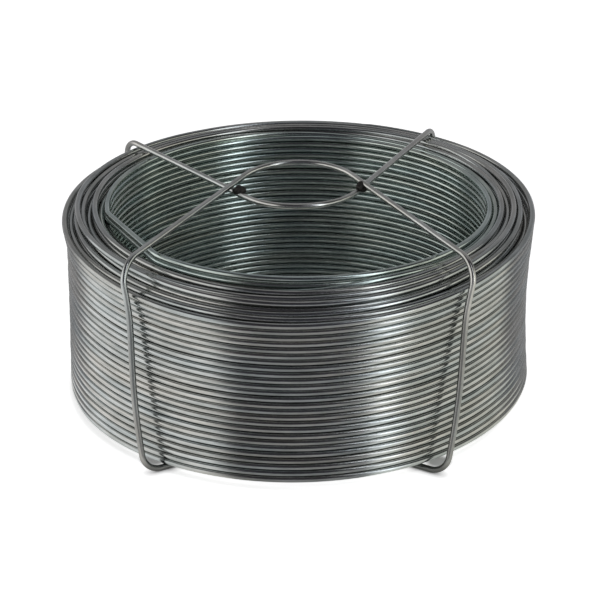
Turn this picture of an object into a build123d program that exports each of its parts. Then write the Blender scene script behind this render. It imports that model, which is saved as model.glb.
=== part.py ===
from build123d import *
import math
import os

# A small coil of galvanized wire, held together by a cage of two bent wires.
# Millimetres, +Z up along the coil's axis, origin on the floor below its centre.
# The front is -Y. Each cage wire has two legs, and runs over the coil's open
# centre, where it bows away from its legs and forms one half of the eye.

# The wound wire
wire_diameter = 1.6
layer_count = 8
coil_height = 52.08
turn_gap = 0.08
bore_diameter = 100.0
short_layers_top = 3
short_layers_bottom = 1
groove_depth = 0.5
turns_per_ridge = 3

# The cage wires
cage_wire_diameter = 1.6
cage_wire_flats = 8
front_leg_angle = 42.0
back_leg_angle = 44.0
back_wire_turn = 6.0
leg_lean = 6.5
leg_gap_top = 0.8
leg_gap_bottom = 3.6
top_bend_radius = 7.0
foot_bend_radius = 4.7
foot_length = 12.0
foot_turn = 25.0
contact_gap = 0.14

# The eye where they cross
eye_half_length = 17.0
eye_half_width = 13.0
eye_forward = 2.0
eye_lift = 2.4

# Sizes that follow
turn_count = round(coil_height / (wire_diameter + turn_gap))
turn_pitch = coil_height / turn_count
bore_radius = bore_diameter / 2
coil_radius = bore_radius + layer_count * wire_diameter
cage_radius = cage_wire_diameter / 2
coil_bottom = cage_wire_diameter + contact_gap
coil_top = coil_bottom + coil_height


def turns_short(layer, short_layers):
    """How many turns a layer ends short of the rim; only the outermost layers do."""
    return max(0, layer - (layer_count - 1 - short_layers))


def end_outline(rim_height, direction, short_layers):
    """Points across one end, from the bore outwards: a ridge for each layer's last turn."""
    points = []
    for layer in range(layer_count):
        inner = bore_radius + layer * wire_diameter
        crest = rim_height - direction * turns_short(layer, short_layers) * turn_pitch
        groove = crest - direction * groove_depth
        points.append((inner, 0, groove))
        points.append((inner + wire_diameter / 2, 0, crest))
    points.append((coil_radius, 0, groove))
    return points


def side_outline():
    """Points down the outer side: one ridge for every few turns of the outermost layer."""
    side_turns = turn_count - short_layers_top - short_layers_bottom
    ridge_count = round(side_turns / turns_per_ridge)
    ridge_height = side_turns * turn_pitch / ridge_count
    crest = coil_top - short_layers_top * turn_pitch - ridge_height / 2
    points = [(coil_radius, 0, crest)]
    for ridge in range(1, ridge_count):
        groove = crest - (ridge - 0.5) * ridge_height
        points.append((coil_radius - groove_depth, 0, groove))
        points.append((coil_radius, 0, groove - ridge_height / 2))
    return points


def make_wire_coil():
    """The wound wire as one turned ring, with a plain bore. Its ends show every layer's last turn."""
    top_points = end_outline(coil_top, 1, short_layers_top)
    bottom_points = end_outline(coil_bottom, -1, short_layers_bottom)
    outline = Polyline(*top_points, *side_outline(), *bottom_points[::-1], close=True)
    return revolve(make_face(outline), Axis.Z, 360)


def flat_vector(length, angle, side, height=0.0):
    """A point at an angle from straight ahead, on the left (side -1) or right (side 1)."""
    across = length * math.sin(math.radians(angle))
    ahead = length * math.cos(math.radians(angle))
    return Vector(side * across, -ahead, height)


def leg_points(leg_angle, corner_height, side):
    """One leg from below: the foot's tip, the bend under the coil, the bend over the rim."""
    bottom_radius = coil_radius + leg_gap_bottom + cage_radius
    top_radius = coil_radius + leg_gap_top + cage_radius
    foot_angle = leg_angle - leg_lean
    foot_bend = flat_vector(bottom_radius, foot_angle, side, cage_radius)
    foot_tip = foot_bend - flat_vector(foot_length, foot_angle + foot_turn, side)
    return [foot_tip, foot_bend, flat_vector(top_radius, leg_angle, side, corner_height)]


def cage_route(leg_angle, eye_distance, crossing_height):
    """The centre line of a cage wire with its legs in front and the eye's middle
    eye_distance behind the coil's axis."""
    corner_height = coil_top + contact_gap + cage_radius
    left_leg = leg_points(leg_angle, corner_height, -1)
    right_leg = leg_points(leg_angle, corner_height, 1)
    corner = right_leg[-1]
    run_across = corner.X - eye_half_length
    run_along = eye_distance - corner.Y
    peak_distance = eye_half_length * run_along / run_across
    rise = (crossing_height - corner_height) * corner.X / run_across
    peak = Vector(0, eye_distance + peak_distance, corner_height + rise)
    half_angle = math.atan2(run_across, run_along)
    eye_bend_radius = (peak_distance - eye_half_width) / (1 / math.sin(half_angle) - 1)
    points = left_leg + [peak] + right_leg[::-1]
    radii = [foot_bend_radius, top_bend_radius, eye_bend_radius, top_bend_radius, foot_bend_radius]
    return FilletPolyline(*points, radius=radii)


def make_cage_wire(route):
    """A wire along its route, cut square at both ends, with narrow flats around it."""
    start = Plane(origin=route @ 0, x_dir=(0, 0, 1), z_dir=route % 0)
    half_flat = 180 / cage_wire_flats
    section = RegularPolygon(cage_radius, cage_wire_flats, major_radius=False, rotation=half_flat)
    return sweep(start * section, path=route)


def make_cage_wires():
    """The front wire passes over the back one at both ends of the eye."""
    crossing_height = coil_top + cage_radius + eye_lift
    offset = cage_radius + contact_gap / 2
    front = make_cage_wire(cage_route(front_leg_angle, -eye_forward, crossing_height + offset))
    back = make_cage_wire(cage_route(back_leg_angle, eye_forward, crossing_height - offset))
    return front, back.rotate(Axis.Z, 180 + back_wire_turn)


def main():
    os.makedirs("parts", exist_ok=True)
    front, back = make_cage_wires()
    export_step(make_wire_coil(), "parts/wire_coil.step")
    export_step(front, "parts/cage_wire_front.step")
    export_step(back, "parts/cage_wire_back.step")


main()
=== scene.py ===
import math
from collections import namedtuple

import bmesh
import bpy
import numpy as np
from mathutils import Matrix, Vector, noise

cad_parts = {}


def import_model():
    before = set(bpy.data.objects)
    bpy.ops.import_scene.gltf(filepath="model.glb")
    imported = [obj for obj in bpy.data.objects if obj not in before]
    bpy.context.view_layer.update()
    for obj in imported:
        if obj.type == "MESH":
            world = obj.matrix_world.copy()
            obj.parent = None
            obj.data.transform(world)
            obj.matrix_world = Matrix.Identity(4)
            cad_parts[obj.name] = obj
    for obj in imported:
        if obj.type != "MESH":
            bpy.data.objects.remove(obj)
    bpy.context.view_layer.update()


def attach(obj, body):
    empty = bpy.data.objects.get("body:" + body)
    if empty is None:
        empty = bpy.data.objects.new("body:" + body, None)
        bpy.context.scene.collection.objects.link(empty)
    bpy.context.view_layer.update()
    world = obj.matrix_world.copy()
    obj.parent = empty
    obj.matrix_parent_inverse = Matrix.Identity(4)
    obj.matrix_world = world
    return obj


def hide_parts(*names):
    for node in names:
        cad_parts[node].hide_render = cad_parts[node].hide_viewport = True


# A small coil of galvanized wire in its cage of two bent wires. Sizes and places are
# millimetres, as in the part's source, and become metres where they reach a mesh, a
# material or the camera. Up is +Z along the coil's axis, and the front is -Y.

MM = 0.001

# The wound wire
wire_radius = 0.8
layer_count = 8
turn_pitch = 1.68
bore_radius = 50.0
coil_bottom = 1.74
coil_top = 53.82
outer_turn_count = 25.75
bore_turn_count = 29.9
rim_turn_count = 3.0
base_turn_count = 2.0
base_gap = 0.08
first_layer_radius = bore_radius + wire_radius
coil_radius = bore_radius + layer_count * 2 * wire_radius

# Where the wire steps out from a layer to the next one: the layer, the angle in degrees
# counterclockwise from the right, and the seed of that wire's wander
outer_step = (6, 70, 11)
bore_step = (0, 100, 23)
rim_steps = ((2, 60, 31), (4, 200, 43))
base_steps = ((1, 40, 51), (3, 160, 53), (5, 330, 57))

# How far round such a step reaches, and how far the height is rounded off there, in
# radians of winding
step_reach = 1.1
step_rounding = 0.2

# The rim. The layers' last turns lie level at the back and slope down to the front.
# Angles from here to the side's are radians from the front, positive to the right.
rim_level = 52.6
rim_arch = 1.2
arch_span = 5.6
front_level = 52.7
front_slope = 1.04
front_centre = math.radians(-4)
front_narrowness = 2.7

# Layers that have sunk left and right, and one that has sunk all round but for a hump
sunk_layers = (3, 6)
sunk_depth = 2.2
humped_layer = 1
humped_depth = 1.54
hump_share = 0.9
hump_middle = 0.44
hump_half_angle = 0.3

# The loose stretch of the innermost layer's turns, and how far before its step the
# first of them lies, in radians of winding
loose_middle = math.radians(-62)
loose_half_angle = math.radians(17.5)
loose_reach = 11.0

# The side: the outermost layer's lowest turn, higher on the right, the sag on the left,
# and how far the wall is drawn in below the rim
lowest_turn_rise = 1.6
lowest_turn_drop = 0.5
left_sag = 0.7
sag_middle = math.radians(-75)
sag_half_angle = 0.5
wall_inset = 1.0
left_inset_start = 0.14
right_inset_share = 1.2

# How far a turn wanders, and the waves that it wanders in
rim_wander = 0.07
base_wander_across = 0.05
base_wander_up = 0.06
wave_count = 5
slowest_wave = 0.23
wave_ratio = 1.7
wave_spread = 0.2
wave_fade = 0.6
wave_total = 2.2

# The ring behind the turns: its gaps to the bore, the side, the floor and the rim
core_bore_gap = 0.3
core_side_gap = 0.5
core_floor_gap = 2.2
core_rim_gap = 2.6

# The cage wires
front_leg_angle = 42.0
back_leg_angle = 44.0
back_wire_turn = 6.0
leg_lean = 6.5
front_right_leg_lean = 8.6
leg_gap_top = 0.8
leg_gap_bottom = 3.6
top_bend_radius = 7.0
foot_bend_radius = 4.7
foot_length = 12.0
foot_turn = 25.0
contact_gap = 0.14
eye_half_length = 17.0
eye_half_width = 13.0
eye_forward = 2.0
eye_lift = 2.4

# How far the legs bow sideways and are drawn in, and how far below the rim that begins
leg_bow = 0.8
leg_bow_start = 12.0
leg_draw = 0.9
leg_draw_start = 3.0

# The welds. Each lies beside its crossing by weld_offset, with weld_side_offset added
# on the right and taken off on the left. The crossings are looked for from
# crossing_search_start outwards.
weld_radius = 1.65
weld_offset = np.array([0.95, -1.7, 0.1])
weld_side_offset = np.array([-0.8, 0.2, 0.0])
weld_flatness = 0.8
weld_subdivisions = 4
weld_seed = 3
lump_height = 0.3
lump_scale = 1.3
grain_height = 0.08
grain_scale = 5.0
crossing_search_start = 5.0

# How finely the wires are modelled
turn_segments = 240
hidden_segments = 180
core_segments = 180
wire_sides = 12
bore_sides = 10
base_sides = 8
cage_sides = 16
arc_points = 14
run_spacing = 1.5

# The photograph's camera
camera_distance = 469.3
camera_height = 241.75
camera_pitch = 25.0
camera_roll = -0.2
camera_lens = 113.92
camera_shift = 0.0023
sensor_width = 36.0

# The zinc: its dull and bright patches, and its tints
wound_dull = (0.41, 0.43, 0.42)
wound_bright = (0.575, 0.59, 0.58)
# The bore's zinc is a lit copy of the wound zinc: painted lighter and greener, as painted light inside
# the coil
bore_lit_dull = (0.44, 0.505, 0.485)
bore_lit_bright = (0.62, 0.695, 0.665)
bent_dull = (0.51, 0.525, 0.51)
bent_bright = (0.67, 0.685, 0.67)
warm_tint = (1.0, 0.965, 0.935)
cool_tint = (0.95, 0.98, 1.0)
wound_roughness = 0.17
bent_roughness = 0.22
roughness_spread = 0.05

# The patterns along a wire: how fast each changes along and round it, its detail, and
# where it turns from the first colour to the second. Two wires of one piece are
# wire_separation apart in the pattern, so that they differ.
wire_separation = 1000.0
patch_rates = (0.12, 0.5, 0.5)
patch_detail = 4.0
patch_turn = (0.35, 0.65)
tint_rates = (0.03, 0.3, 0.3)
tint_detail = 3.0
tint_turn = (0.38, 0.62)
line_rates = (0.6, 6.0, 6.0)
line_detail = 3.0
line_strength = 0.25
line_depth = 0.03

# Painted shade on the cage's zinc: it is darker below the rim, and darker again at the floor under the
# coil
leg_painted_shade = 0.58
leg_shade_start = 34.0
leg_shade_end = 52.0
feet_painted_shade = 0.4
feet_shade_start = 1.2
feet_shade_end = 5.5

# The dark metals
shaded_dark = 0.1
shaded_pale = 0.26
weld_dark = 0.02
weld_pale = 0.12
dark_turn = (0.35, 0.7)
dark_tint = (1.0, 0.95, 0.9)
dark_roughness = 0.6
dark_grain_scale = 900.0
dark_grain_detail = 4.0

# The studio's walls. Angles are degrees from straight ahead, positive to the right. A
# wall fades out between two heights, which are the upward part of a unit direction. The
# levels are those of the left wall, the right wall and the bright strip.
Wall = namedtuple("Wall", "middle half_width softness fade_start fade_end tint")
left_wall = Wall(-78.5, 41.0, 7.5, 0.42, 0.84, (1.0, 0.99, 0.97))
right_wall = Wall(74.0, 37.0, 6.0, 0.3, 0.62, (1.0, 1.0, 0.88))
strip_wall = Wall(41.8, 6.5, 4.5, 0.9, 1.0, (0.95, 0.98, 1.03))
low_wall = Wall(0.0, 200.0, 5.0, 0.1, 0.4, (1.0, 0.96, 1.12))
back_wall = Wall(180.0, 60.0, 20.0, 1.0, 1.1, (1.0, 1.0, 1.0))
wall_levels = (1.01, 0.78, 2.05)
low_level = 0.09
back_level = 0.25
room_level = 0.04
room_tint = (1.0, 0.96, 1.12)

# The floor: what the camera sees, and what the zinc mirrors. The mirrored glow has only
# inside_share of its level up to inside_end from the axis, and all from outside_start.
floor_size = 8000.0
paper_tone = 0.8
floor_glow = 0.9
floor_glow_mirrored = 0.12
floor_wall_levels = (0.6, 0.43, 0.3)
floor_light_centre = 35.0
inside_share = 0.12
inside_end = 45.0
outside_start = 65.0

# The shade on the floor: close to what stands there, and in a spot behind each foot
shade_reach = 2.2
shade_depth = 1.2
foot_shade = 0.12
foot_shade_inner = 1.8
foot_shade_outer = 4.4
foot_shade_inset = 3.0
foot_shade_turn = 2.8


# Vectors


def unit(vectors):
    return vectors / np.linalg.norm(vectors, axis=-1, keepdims=True)


def smooth_step(share):
    share = np.clip(share, 0.0, 1.0)
    return share * share * (3 - 2 * share)


def wander(distance, seed):
    """A smooth wandering line between about -1 and 1, never repeating, from a few sines."""
    draws = np.random.default_rng(seed)
    total = np.zeros_like(distance)
    for wave in range(wave_count):
        rate = slowest_wave * wave_ratio**wave * draws.uniform(1 - wave_spread, 1 + wave_spread)
        total += np.sin(rate * distance + draws.uniform(0, 2 * math.pi)) / (1 + wave_fade * wave)
    return total / wave_total


# Meshes


def tube_rings(line, outward, radius, sides):
    """Rings of points round a line: (number of rings, sides, 3), first point outward."""
    along = unit(np.gradient(line, axis=0))
    across = unit(np.cross(along, outward))
    away = np.cross(across, along)
    angles = np.arange(sides) * 2 * math.pi / sides
    ring = np.cos(angles)[:, None, None] * away + np.sin(angles)[:, None, None] * across
    return (line + radius * ring).transpose(1, 0, 2)


def tube_faces(rings, sides, first):
    """Quads between neighbouring rings, and a cap at each end."""
    ring = np.arange(rings - 1)[:, None] * sides
    side = np.arange(sides)[None, :]
    after = (side + 1) % sides
    quads = np.stack([ring + side, ring + after, ring + sides + after, ring + sides + side], -1)
    faces = (quads.reshape(-1, 4) + first).tolist()
    faces.append((first + np.arange(sides)[::-1]).tolist())
    faces.append((first + (rings - 1) * sides + np.arange(sides)).tolist())
    return faces


def wire_places(line, sides, start):
    """For each point of a tube: the distance along its wire, and the direction round it."""
    steps = np.linalg.norm(np.diff(line, axis=0), axis=1)
    distance = start + np.concatenate([[0.0], np.cumsum(steps)])
    angles = np.arange(sides) * 2 * math.pi / sides
    places = np.empty((len(line), sides, 3))
    places[:, :, 0] = distance[:, None]
    places[:, :, 1] = np.cos(angles)
    places[:, :, 2] = np.sin(angles)
    return places


def place_piece(name, mesh, nodes):
    """An object of the mesh, which takes the place of the CAD nodes in the picture."""
    piece = bpy.data.objects.new(name, mesh)
    bpy.context.scene.collection.objects.link(piece)
    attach(piece, "root")
    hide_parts(*nodes)


def make_wires(name, lines, sides, material, nodes):
    """One object of several wires, each a line of points with its outward directions.
    Its attribute wire_place carries the patterns that run along the wire."""
    points, faces, places = [], [], []
    count = 0
    start = 0.0
    for line, outward in lines:
        rings = tube_rings(line, outward, wire_radius, sides)
        faces += tube_faces(len(rings), sides, count)
        place = wire_places(line, sides, start)
        points.append(rings.reshape(-1, 3))
        places.append(place.reshape(-1, 3))
        count += len(rings) * sides
        start = place[-1, 0, 0] + wire_separation
    mesh = bpy.data.meshes.new(name)
    mesh.from_pydata(np.concatenate(points) * MM, [], faces)
    mesh.shade_smooth()
    attribute = mesh.attributes.new("wire_place", "FLOAT_VECTOR", "POINT")
    attribute.data.foreach_set("vector", np.concatenate(places).astype(np.float32).ravel())
    mesh.materials.append(material)
    place_piece(name, mesh, nodes)


# The wound wire


def layer_radius(layer):
    return first_layer_radius + layer * 2 * wire_radius


def crest(layer, azimuth):
    """Height of the top of a layer's last turn, at an angle from the front, to the right."""
    level = rim_level + rim_arch * math.sin(math.pi * layer / arch_span)
    front = front_level - front_slope * layer
    frontness = ((1 + np.cos(azimuth - front_centre)) / 2) ** front_narrowness
    height = level + (front - level) * frontness
    if layer == humped_layer:
        hump = np.exp(-(((azimuth - hump_middle) / hump_half_angle) ** 2))
        height = height - humped_depth * (1 - hump_share * hump)
    if layer in sunk_layers:
        height = height - sunk_depth * np.sin(azimuth) ** 4
    return height


def around_z(azimuth):
    """The same angle between -pi and pi."""
    return (azimuth + math.pi) % (2 * math.pi) - math.pi


def wound_line(turn, angle, radius, height):
    """Points of a wire that goes round clockwise, seen from above."""
    around = math.radians(angle) - turn
    outward = np.stack([np.cos(around), np.sin(around), np.zeros_like(around)], -1)
    line = outward * np.asarray(radius)[:, None]
    line[:, 2] = height
    return line, outward


def turns_from_step(turn):
    """How many turns away from its step a wire is, rounded off at the step."""
    return (np.sqrt(turn**2 + step_rounding**2) - step_rounding) / (2 * math.pi)


def windings(turns_before, turns_after, segments):
    """Angles of winding from some turns before a step to some turns after it."""
    count = int((turns_before + turns_after) * segments) + 1
    return np.linspace(-turns_before * 2 * math.pi, turns_after * 2 * math.pi, count)


def top_run(step, turns_before, turns_after, segments):
    """A wire that climbs its layer, steps out to the next one at the rim, and goes down."""
    layer, angle, seed = step
    turn = windings(turns_before, turns_after, segments)
    azimuth = around_z(math.radians(angle + 90) - turn)
    crossing = smooth_step(turn / step_reach + 0.5)
    radius = layer_radius(layer) + 2 * wire_radius * crossing
    top = crest(layer, azimuth) * (1 - crossing) + crest(layer + 1, azimuth) * crossing
    below = turns_from_step(turn) - 0.5
    height = top - turn_pitch * below
    if layer == layer_count - 2:
        height = np.where(turn < 0, height, outer_height(top, below, azimuth))
        radius = radius - wall_inset * wall_shape(below / (outer_turn_count - 1), azimuth) * crossing
    if layer == 0:
        radius = loose_run(radius, azimuth, turn)
    radius = radius + rim_wander * wander(turn, seed) - rim_wander
    height = height + rim_wander * wander(turn, seed + 1)
    lowest = coil_bottom - left_sag * np.exp(-(((azimuth - sag_middle) / sag_half_angle) ** 2))
    height = np.clip(height, lowest + 2 * wire_radius, coil_top)
    return wound_line(turn, angle, radius, height - wire_radius)


def wall_shape(depth, azimuth):
    """How far the side is drawn in, from the rim (0) to the floor (1): most just below
    the rim on the left, and halfway down on the right."""
    depth = np.clip(depth, 0, 1)
    left = smooth_step(depth / left_inset_start) * np.cos(depth * math.pi / 2)
    right = right_inset_share * np.sin(math.pi * depth)
    return left + (right - left) * (1 + np.sin(azimuth)) / 2


def outer_height(top, below, azimuth):
    """The outermost layer's turns share out the height that the rim leaves them."""
    rise = lowest_turn_rise * ((1 + np.sin(azimuth)) / 2) ** 3
    lowest = coil_bottom + turn_pitch / 2 - lowest_turn_drop + rise + 2 * wire_radius
    return top - (top - lowest) * below / (outer_turn_count - 1)


def loose_run(radius, azimuth, turn):
    """The innermost layer's last two turns have come loose: they run straight for a bit
    on the left."""
    apart = around_z(azimuth - loose_middle)
    straight = radius * math.cos(loose_half_angle) / np.cos(apart)
    loose = (np.abs(apart) < loose_half_angle) & (turn > -loose_reach) & (turn < 0)
    return np.where(loose, straight, radius)


def bottom_run(step):
    """A wire at the floor: down one layer, a step out, and up the next one."""
    layer, angle, seed = step
    turn = windings(base_turn_count, base_turn_count, hidden_segments)
    crossing = smooth_step(turn / step_reach + 0.5)
    radius = layer_radius(layer) + 2 * wire_radius * crossing
    radius = radius + base_wander_across * wander(turn, seed)
    height = coil_bottom + wire_radius + base_gap + turn_pitch * turns_from_step(turn)
    height = height + base_wander_up * wander(turn, seed + 1)
    return wound_line(turn, angle, radius, height)


def make_outer_turns(material):
    run = top_run(outer_step, rim_turn_count, outer_turn_count, turn_segments)
    make_wires("outer_turns", [run], wire_sides, material, ["wire_coil"])


def make_bore_turns(material):
    run = top_run(bore_step, bore_turn_count, rim_turn_count, hidden_segments)
    make_wires("bore_turns", [run], bore_sides, material, ["wire_coil"])


def make_rim_turns(material):
    runs = [top_run(step, rim_turn_count, rim_turn_count, turn_segments) for step in rim_steps]
    make_wires("rim_turns", runs, wire_sides, material, ["wire_coil"])


def make_base_turns(material):
    runs = [bottom_run(step) for step in base_steps]
    make_wires("base_turns", runs, base_sides, material, ["wire_coil"])


def core_rows(azimuth):
    """The radius and the heights of each line round the ring, from the bore's foot outwards
    and back over the rim."""
    low = np.full(core_segments, coil_bottom + core_floor_gap)
    outside = layer_radius(layer_count - 1) - wall_inset - core_side_gap
    rows = [(layer_radius(0) + core_bore_gap, low), (outside, low + core_floor_gap)]
    for layer in range(layer_count - 1, -1, -1):
        radius = min(layer_radius(layer) + core_bore_gap, outside)
        rows.append((radius, crest(layer, azimuth) - core_rim_gap))
    return rows


def make_core(material):
    """The layers that no one sees, as one ring behind the turns that follows the rim."""
    azimuth = np.arange(core_segments) * 2 * math.pi / core_segments
    points = []
    faces = []
    rows = core_rows(azimuth)
    for row, (radius, height) in enumerate(rows):
        points.append(np.stack([radius * np.sin(azimuth), -radius * np.cos(azimuth), height], -1))
        first = row * core_segments
        second = (row + 1) % len(rows) * core_segments
        for segment in range(core_segments):
            after = (segment + 1) % core_segments
            faces.append([first + segment, first + after, second + after, second + segment])
    mesh = bpy.data.meshes.new("hidden_layers")
    mesh.from_pydata(np.concatenate(points) * MM, [], faces)
    mesh.materials.append(material)
    place_piece("hidden_layers", mesh, ["wire_coil"])


# The cage wires


def flat_point(length, angle, side, height=0.0):
    """A point at an angle from straight ahead, on the left (side -1) or right (side 1)."""
    across = side * length * math.sin(math.radians(angle))
    ahead = length * math.cos(math.radians(angle))
    return np.array([across, -ahead, height])


def leg_points(leg_angle, lean, corner_height, side):
    """One leg from below: the foot's tip, the bend under the coil, the bend over the rim."""
    bottom_radius = coil_radius + leg_gap_bottom + wire_radius
    top_radius = coil_radius + leg_gap_top + wire_radius
    foot_angle = leg_angle - lean
    foot_bend = flat_point(bottom_radius, foot_angle, side, wire_radius)
    foot_tip = foot_bend - flat_point(foot_length, foot_angle + foot_turn, side)
    return [foot_tip, foot_bend, flat_point(top_radius, leg_angle, side, corner_height)]


def straight_run(start, end):
    """Points from start to just before end, about run_spacing apart."""
    steps = max(2, int(np.linalg.norm(end - start) / run_spacing))
    return [start + (end - start) * step / steps for step in range(steps)]


def bent_line(corners, radii):
    """Points along straight runs joined by arcs that touch both runs."""
    line = []
    here = corners[0]
    for before, corner, after, radius in zip(corners, corners[1:], corners[2:], radii):
        back, onward = unit(before - corner), unit(after - corner)
        half_angle = math.acos(float(back @ onward)) / 2
        reach = radius / math.tan(half_angle)
        centre = corner + unit(back + onward) * radius / math.sin(half_angle)
        arc_start, arc_end = corner + back * reach, corner + onward * reach
        line += straight_run(here, arc_start)
        turned = math.pi - 2 * half_angle
        from_start, from_end = arc_start - centre, arc_end - centre
        for step in range(arc_points):
            share = step / arc_points
            mixed = math.sin((1 - share) * turned) * from_start + math.sin(share * turned) * from_end
            line.append(centre + mixed / math.sin(turned))
        here = arc_end
    line += straight_run(here, corners[-1])
    line.append(corners[-1])
    return np.array(line)


def cage_line(leg_angle, right_lean, eye_distance, crossing_height):
    """The centre line of a cage wire with its legs in front."""
    corner_height = coil_top + contact_gap + wire_radius
    left_leg = leg_points(leg_angle, leg_lean, corner_height, -1)
    right_leg = leg_points(leg_angle, right_lean, corner_height, 1)
    corner = right_leg[-1]
    run_across = corner[0] - eye_half_length
    run_along = eye_distance - corner[1]
    peak_distance = eye_half_length * run_along / run_across
    rise = (crossing_height - corner_height) * corner[0] / run_across
    peak = np.array([0, eye_distance + peak_distance, corner_height + rise])
    half_angle = math.atan2(run_across, run_along)
    eye_bend_radius = (peak_distance - eye_half_width) / (1 / math.sin(half_angle) - 1)
    corners = left_leg + [peak] + right_leg[::-1]
    radii = [foot_bend_radius, top_bend_radius, eye_bend_radius, top_bend_radius, foot_bend_radius]
    return bent_line(corners, radii)


def carried_frames(line, first):
    """Outward directions that follow a line without twisting about it."""
    along = unit(np.gradient(line, axis=0))
    outward = [unit(first - along[0] * (first @ along[0]))]
    for direction in along[1:]:
        turned = outward[-1] - direction * (outward[-1] @ direction)
        outward.append(unit(turned))
    return np.array(outward)


def turned_about_z(line, degrees):
    cosine, sine = math.cos(math.radians(degrees)), math.sin(math.radians(degrees))
    return line @ np.array([[cosine, sine, 0], [-sine, cosine, 0], [0, 0, 1]])


def leg_share(line, start):
    """How far up a leg a point is, from the foot's bend (0) to start below the rim (1)."""
    return np.clip((line[:, 2] - foot_bend_radius) / (coil_top - start - foot_bend_radius), 0, 1)


def bowed_legs(line):
    """The legs bow a little sideways halfway up, and are drawn in below the rim."""
    on_leg = np.hypot(line[:, 0], line[:, 1]) > coil_radius
    bow = np.where(on_leg, leg_bow * np.sin(math.pi * leg_share(line, leg_bow_start)), 0.0)
    draw = np.where(on_leg, leg_draw * np.sin(math.pi * leg_share(line, leg_draw_start) ** 2), 0.0)
    turn = np.sign(line[:, 0]) * bow / coil_radius
    cosine, sine = np.cos(turn), np.sin(turn)
    nearer = 1 - draw / coil_radius
    across = (cosine * line[:, 0] - sine * line[:, 1]) * nearer
    along = (sine * line[:, 0] + cosine * line[:, 1]) * nearer
    return np.stack([across, along, line[:, 2]], -1)


def make_weld(name, centre, material, seed):
    """A dark lump of weld where the two cage wires cross."""
    shape = bmesh.new()
    bmesh.ops.create_icosphere(shape, subdivisions=weld_subdivisions, radius=1.0)
    for vertex in shape.verts:
        lumps = noise.noise(vertex.co * lump_scale + Vector((seed, 0, 0)))
        grains = noise.noise(vertex.co * grain_scale + Vector((0, seed, 0)))
        place = vertex.co * weld_radius * (1 + lump_height * lumps + grain_height * grains)
        vertex.co = (Vector(centre) + Vector((place.x, place.y, place.z * weld_flatness))) * MM
    mesh = bpy.data.meshes.new(name)
    shape.to_mesh(mesh)
    shape.free()
    mesh.shade_smooth()
    mesh.materials.append(material)
    place_piece(name, mesh, ["cage_wire_front"])


def crossing_point(front, back, side):
    """Halfway between two lines where they pass closest, left (side -1) or right (side 1)."""
    front = front[front[:, 0] * side > crossing_search_start]
    back = back[back[:, 0] * side > crossing_search_start]
    apart = np.linalg.norm(front[:, None, :] - back[None, :, :], axis=2)
    nearest = np.unravel_index(apart.argmin(), apart.shape)
    return (front[nearest[0]] + back[nearest[1]]) / 2


def make_cage(material, weld_metal):
    """The front wire passes over the back one at both ends of the eye, with a weld at each."""
    crossing_height = coil_top + wire_radius + eye_lift
    offset = wire_radius + contact_gap / 2
    front = cage_line(front_leg_angle, front_right_leg_lean, -eye_forward, crossing_height + offset)
    back = cage_line(back_leg_angle, leg_lean, eye_forward, crossing_height - offset)
    front = bowed_legs(front)
    back = turned_about_z(bowed_legs(back), 180 + back_wire_turn)
    for name, line in [("cage_wire_front", front), ("cage_wire_back", back)]:
        outward = carried_frames(line, np.array([0.0, 0.0, -1.0]))
        make_wires(name + "_bent", [(line, outward)], cage_sides, material, [name])
    for name, side in [("weld_left", -1), ("weld_right", 1)]:
        centre = crossing_point(front, back, side) + weld_offset + side * weld_side_offset
        make_weld(name, centre, weld_metal, weld_seed + side)


# Nodes


def feed(tree, value, socket):
    """Give an input another node's output, or a plain number or colour."""
    if isinstance(value, bpy.types.NodeSocket):
        tree.links.new(value, socket)
    else:
        socket.default_value = value


def calculate(tree, operation, first, second=0.0):
    """A Math node; each input is a socket or a number."""
    node = tree.nodes.new("ShaderNodeMath")
    node.operation = operation
    feed(tree, first, node.inputs[0])
    feed(tree, second, node.inputs[1])
    return node.outputs["Value"]


def vector_node(tree, operation, first):
    node = tree.nodes.new("ShaderNodeVectorMath")
    node.operation = operation
    feed(tree, first, node.inputs[0])
    return node


def combined(tree, operation, first, second):
    """The sum or product of two vectors or colours."""
    node = vector_node(tree, operation, first)
    feed(tree, second, node.inputs[1])
    return node.outputs["Vector"]


def scaled(tree, vector, factor):
    """A vector or colour times a number."""
    node = vector_node(tree, "SCALE", vector)
    feed(tree, factor, node.inputs["Scale"])
    return node.outputs["Vector"]


def separated(tree, vector):
    node = tree.nodes.new("ShaderNodeSeparateXYZ")
    tree.links.new(vector, node.inputs["Vector"])
    return node.outputs


def fade(tree, value, start, end, start_level, end_level):
    """Start_level below start, end_level above end, and smooth between them."""
    node = tree.nodes.new("ShaderNodeMapRange")
    node.interpolation_type = "SMOOTHSTEP"
    tree.links.new(value, node.inputs["Value"])
    node.inputs["From Min"].default_value = start
    node.inputs["From Max"].default_value = end
    node.inputs["To Min"].default_value = start_level
    node.inputs["To Max"].default_value = end_level
    return node.outputs["Result"]


def two_tones(tree, value, turn, first_colour, second_colour):
    """The first colour below the turn and the second above it."""
    node = tree.nodes.new("ShaderNodeValToRGB")
    colours = (first_colour, second_colour)
    for element, position, colour in zip(node.color_ramp.elements, turn, colours):
        element.position = position
        element.color = (*colour, 1)
    tree.links.new(value, node.inputs["Fac"])
    return node.outputs["Color"]


def noise_at(tree, scale, detail, vector=None):
    node = tree.nodes.new("ShaderNodeTexNoise")
    node.inputs["Scale"].default_value = scale
    node.inputs["Detail"].default_value = detail
    if vector:
        tree.links.new(vector, node.inputs["Vector"])
    return node.outputs["Fac"]


def noise_along_wire(tree, place, rates, detail):
    """Noise that changes at one rate along the wire and at another round it."""
    node = tree.nodes.new("ShaderNodeMapping")
    node.inputs["Scale"].default_value = rates
    tree.links.new(place, node.inputs["Vector"])
    return noise_at(tree, 1.0, detail, node.outputs["Vector"])


# Materials


def empty_material(name):
    """A material with only its output."""
    material = bpy.data.materials.new(name)
    material.use_nodes = True
    material.node_tree.nodes.clear()
    output = material.node_tree.nodes.new("ShaderNodeOutputMaterial")
    return material, output


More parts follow.
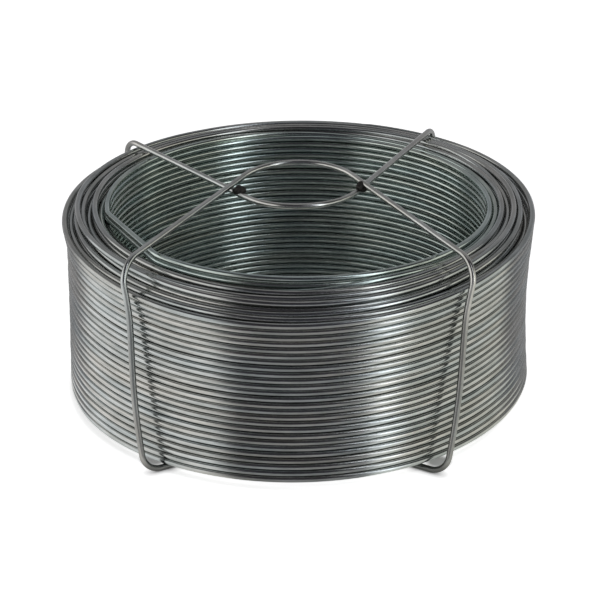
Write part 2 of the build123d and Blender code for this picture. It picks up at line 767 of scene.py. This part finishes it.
def metal(name):
    """A metal whose colour and roughness are still to be set."""
    material, output = empty_material(name)
    shader = material.node_tree.nodes.new("ShaderNodeBsdfPrincipled")
    shader.inputs["Metallic"].default_value = 1.0
    material.node_tree.links.new(shader.outputs["BSDF"], output.inputs["Surface"])
    return material, shader


def zinc_roughness(tree, patches, roughness):
    """The bright patches are the smoother ones."""
    node = tree.nodes.new("ShaderNodeMapRange")
    node.inputs["To Min"].default_value = roughness + roughness_spread
    node.inputs["To Max"].default_value = roughness - roughness_spread
    tree.links.new(patches, node.inputs["Value"])
    return node.outputs["Result"]


def drawing_lines(tree, place):
    """Fine lines along the wire, left by the die that it was drawn through."""
    bump = tree.nodes.new("ShaderNodeBump")
    bump.inputs["Strength"].default_value = line_strength
    bump.inputs["Distance"].default_value = line_depth * MM
    lines = noise_along_wire(tree, place, line_rates, line_detail)
    tree.links.new(lines, bump.inputs["Height"])
    return bump.outputs["Normal"]


def painted_shade_by_height(tree, low, foot):
    """How bright the zinc is painted, as painted shade: low below the rim, and foot times that at the
    floor.
    """
    coordinates = tree.nodes.new("ShaderNodeTexCoord")
    height = separated(tree, coordinates.outputs["Object"])["Z"]
    below_rim = fade(tree, height, leg_shade_start * MM, leg_shade_end * MM, low, 1.0)
    at_floor = fade(tree, height, feet_shade_start * MM, feet_shade_end * MM, foot, 1.0)
    return calculate(tree, "MULTIPLY", below_rim, at_floor)


def zinc_material(name, dull, bright, roughness, low=1.0, foot=1.0):
    """Zinc on drawn wire: dull and bright patches, tints and fine lines along the wire."""
    material, shader = metal(name)
    tree = material.node_tree
    attribute = tree.nodes.new("ShaderNodeAttribute")
    attribute.attribute_name = "wire_place"
    place = attribute.outputs["Vector"]
    patches = noise_along_wire(tree, place, patch_rates, patch_detail)
    tints = noise_along_wire(tree, place, tint_rates, tint_detail)
    colour = two_tones(tree, patches, patch_turn, dull, bright)
    tint = two_tones(tree, tints, tint_turn, warm_tint, cool_tint)
    # painted shade: the zinc's colour is darkened by height, below the rim and at the floor
    colour = scaled(tree, combined(tree, "MULTIPLY", colour, tint), painted_shade_by_height(tree, low, foot))
    tree.links.new(colour, shader.inputs["Base Color"])
    tree.links.new(zinc_roughness(tree, patches, roughness), shader.inputs["Roughness"])
    tree.links.new(drawing_lines(tree, place), shader.inputs["Normal"])
    return material


def dark_material(name, dark, pale):
    """Rough dark metal: the shaded inside of the coil, or a dark weld."""
    material, shader = metal(name)
    tree = material.node_tree
    shader.inputs["Roughness"].default_value = dark_roughness
    grains = noise_at(tree, dark_grain_scale, dark_grain_detail)
    dark_colour = (dark, dark, dark)
    pale_colour = [pale * share for share in dark_tint]
    colour = two_tones(tree, grains, dark_turn, dark_colour, pale_colour)
    tree.links.new(colour, shader.inputs["Base Color"])
    return material


# The studio


def degrees_round(tree, parts):
    """The angle of a direction or a place from straight ahead, positive to the right."""
    ahead = calculate(tree, "MULTIPLY", parts["Y"], -1.0)
    angle = calculate(tree, "ARCTAN2", parts["X"], ahead)
    return calculate(tree, "MULTIPLY", angle, 180 / math.pi)


def wall_light(tree, azimuth, height, wall, level):
    """The light of one wall, which fades out towards its ends and its upper edge."""
    apart = calculate(tree, "ABSOLUTE", calculate(tree, "SUBTRACT", azimuth, wall.middle))
    end_start = wall.half_width - wall.softness
    across = fade(tree, apart, end_start, wall.half_width + wall.softness, level, 0.0)
    upwards = fade(tree, height, wall.fade_start, wall.fade_end, 1.0, 0.0)
    return scaled(tree, wall.tint, calculate(tree, "MULTIPLY", across, upwards))


def with_walls(tree, azimuth, height, levels, light):
    """The light with that of the left wall, the right wall and the bright strip added."""
    for wall, level in zip((left_wall, right_wall, strip_wall), levels):
        light = combined(tree, "ADD", wall_light(tree, azimuth, height, wall, level), light)
    return light


def room_light(tree):
    """The light from each direction: the walls, a low light all round, and a dim back wall."""
    coordinates = tree.nodes.new("ShaderNodeTexCoord")
    parts = separated(tree, coordinates.outputs["Generated"])
    azimuth, height = degrees_round(tree, parts), parts["Z"]
    light = tuple(room_level * share for share in room_tint)
    light = with_walls(tree, azimuth, height, wall_levels, light)
    low = wall_light(tree, azimuth, height, low_wall, low_level)
    light = combined(tree, "ADD", low, light)
    turned = calculate(tree, "ABSOLUTE", azimuth)
    back = wall_light(tree, turned, height, back_wall, back_level)
    return combined(tree, "ADD", back, light)


def make_world():
    """A dim studio with bright walls on both sides of the coil, and white to the camera."""
    world = bpy.data.worlds.new("studio")
    bpy.context.scene.world = world
    world.use_nodes = True
    tree = world.node_tree
    tree.nodes.clear()
    output = tree.nodes.new("ShaderNodeOutputWorld")
    background = tree.nodes.new("ShaderNodeBackground")
    path = tree.nodes.new("ShaderNodeLightPath")
    shown = tree.nodes.new("ShaderNodeMix")
    shown.data_type = "RGBA"
    shown.inputs["B"].default_value = (1, 1, 1, 1)
    tree.links.new(path.outputs["Is Camera Ray"], shown.inputs["Factor"])
    tree.links.new(room_light(tree), shown.inputs["A"])
    tree.links.new(shown.outputs["Result"], background.inputs["Color"])
    tree.links.new(background.outputs["Background"], output.inputs["Surface"])


def foot_spots():
    """The places on the floor under the coil's edge, behind each foot's bend."""
    radius = coil_radius - foot_shade_inset
    front_turn = foot_shade_turn + front_leg_angle
    back_angle = foot_shade_turn + back_leg_angle - leg_lean
    spots = [flat_point(radius, front_turn - leg_lean, -1)]
    spots.append(flat_point(radius, front_turn - front_right_leg_lean, 1))
    for side in (-1, 1):
        spots.append(turned_about_z(flat_point(radius, back_angle, side), 180 + back_wire_turn))
    return spots


def floor_shade(tree, position):
    """The share of light that the floor keeps: less close to what stands on it, and less
    in a spot behind each foot."""
    corners = tree.nodes.new("ShaderNodeAmbientOcclusion")
    corners.inputs["Distance"].default_value = shade_reach * MM
    share = calculate(tree, "POWER", corners.outputs["AO"], shade_depth)
    for spot in foot_spots():
        apart = vector_node(tree, "DISTANCE", position)
        apart.inputs[1].default_value = spot * MM
        inner, outer = foot_shade_inner * MM, foot_shade_outer * MM
        spot_share = fade(tree, apart.outputs["Value"], inner, outer, foot_shade, 1.0)
        share = calculate(tree, "MULTIPLY", share, spot_share)
    return share


def floor_light(tree, position):
    """The light that the zinc mirrors from each place on the floor: dim inside the bore,
    and brighter towards each wall."""
    from_axis = vector_node(tree, "LENGTH", position).outputs["Value"]
    dim = inside_share * floor_glow_mirrored
    light = fade(tree, from_axis, inside_end * MM, outside_start * MM, dim, floor_glow_mirrored)
    parts = separated(tree, combined(tree, "ADD", position, (0.0, floor_light_centre * MM, 0.0)))
    return with_walls(tree, degrees_round(tree, parts), parts["Z"], floor_wall_levels, light)


def floor_material():
    """Pale paper that glows white to the camera and is mirrored as a lit studio floor."""
    material, output = empty_material("pale_floor")
    tree = material.node_tree
    paper = tree.nodes.new("ShaderNodeBsdfDiffuse")
    paper.inputs["Color"].default_value = (paper_tone, paper_tone, paper_tone, 1)
    glow = tree.nodes.new("ShaderNodeEmission")
    position = tree.nodes.new("ShaderNodeNewGeometry").outputs["Position"]
    rays = tree.nodes.new("ShaderNodeLightPath").outputs
    share = floor_shade(tree, position)
    mirrored = calculate(tree, "MAXIMUM", rays["Is Glossy Ray"], rays["Is Transmission Ray"])
    mirrored = calculate(tree, "MULTIPLY", mirrored, share)
    seen = calculate(tree, "MULTIPLY", rays["Is Camera Ray"], floor_glow)
    seen = calculate(tree, "MULTIPLY", seen, share)
    light = combined(tree, "ADD", seen, scaled(tree, floor_light(tree, position), mirrored))
    tree.links.new(light, glow.inputs["Color"])
    both = tree.nodes.new("ShaderNodeAddShader")
    tree.links.new(paper.outputs["BSDF"], both.inputs[0])
    tree.links.new(glow.outputs["Emission"], both.inputs[1])
    tree.links.new(both.outputs["Shader"], output.inputs["Surface"])
    return material


def make_floor():
    bpy.ops.mesh.primitive_plane_add(size=floor_size * MM, location=(0, 0, 0))
    floor = bpy.context.object
    floor.name = "floor"
    floor.data.materials.append(floor_material())


def make_camera():
    """The camera that the photograph was taken with, as fitted to the coil's outlines."""
    camera = bpy.data.objects.new("camera", bpy.data.cameras.new("camera"))
    camera.data.lens = camera_lens
    camera.data.sensor_width = sensor_width
    camera.data.shift_x = camera_shift
    camera.location = (0, -camera_distance * MM, camera_height * MM)
    camera.rotation_mode = "XYZ"
    tilt = math.radians(90 - camera_pitch)
    turn = Matrix.Rotation(tilt, 4, "X") @ Matrix.Rotation(math.radians(camera_roll), 4, "Z")
    camera.rotation_euler = turn.to_euler()
    bpy.context.scene.collection.objects.link(camera)
    bpy.context.scene.camera = camera


def main():
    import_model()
    wound = zinc_material("zinc_wound", wound_dull, wound_bright, wound_roughness)
    # the cage's zinc gets painted shade below the rim and at the floor
    bent = zinc_material("zinc_bent", bent_dull, bent_bright, bent_roughness, leg_painted_shade, feet_painted_shade)
    # the bore's turns take the lit copy of the zinc, as painted light
    inner = zinc_material("zinc_bore_lit", bore_lit_dull, bore_lit_bright, wound_roughness)
    make_outer_turns(wound)
    make_bore_turns(inner)
    make_rim_turns(wound)
    make_base_turns(wound)
    make_core(dark_material("shaded_wire", shaded_dark, shaded_pale))
    make_cage(bent, dark_material("dark_weld", weld_dark, weld_pale))
    make_floor()
    make_world()
    make_camera()
    bpy.context.scene.view_settings.view_transform = "Standard"


main()
